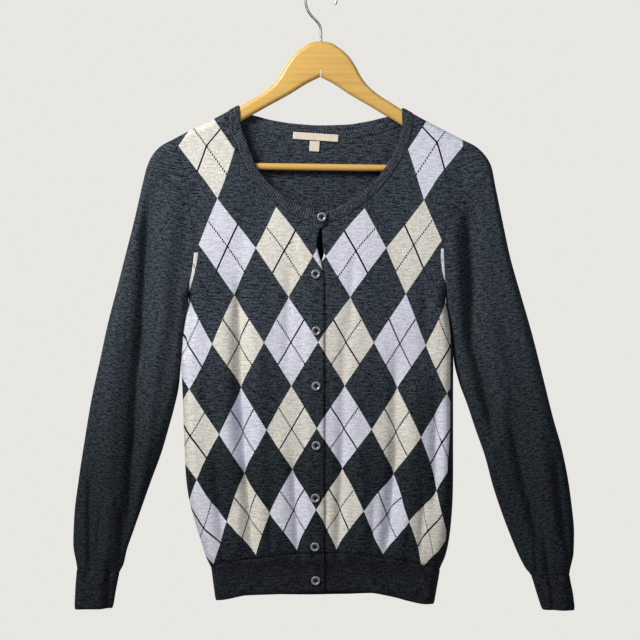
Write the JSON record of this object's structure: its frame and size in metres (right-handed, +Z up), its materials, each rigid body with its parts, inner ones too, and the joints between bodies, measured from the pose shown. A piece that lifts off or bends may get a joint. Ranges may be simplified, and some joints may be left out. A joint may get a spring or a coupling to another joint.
{
  "type": "wool cardigan on a hanger",
  "caption": "Fine-gauge buttoned wool cardigan with argyle fronts, plain sleeves and ribbed bands, hanging on a wooden hanger with a trouser bar.",
  "frame": {"origin": "inside top of the hook, where a rail carries the hanger", "axes": "+Z up, +Y from the front of the cardigan to its back, +X to the wearer's left"},
  "size_m": [0.6279, 0.0481, 0.7872],
  "materials": {
    "knit": "fine wool jersey, charcoal heather; the fronts carry pale argyle diamonds",
    "rib": "fine wool rib, charcoal heather",
    "button": "dark translucent, rimmed",
    "label": "woven satin, bare",
    "wood": "pale, clear satin lacquer",
    "metal": "polished wire"
  },
  "bodies": {
    "root": {"front_right": "knit", "front_left": "knit", "back_panel": "knit", "sleeve_right": "knit", "sleeve_left": "knit", "cuff_right": "rib", "cuff_left": "rib", "hem_rib_right": "rib", "hem_rib_left": "rib", "hem_rib_back": "rib", "neckband": "rib", "button_1": "button", "button_2": "button", "button_3": "button", "button_4": "button", "button_5": "button", "button_6": "button", "button_7": "button", "button_8": "button", "label": "label", "size_tab": "label", "hanger_body": "wood", "hanger_bar": "wood", "hanger_hook": "metal"}
  },
  "joints": []
}
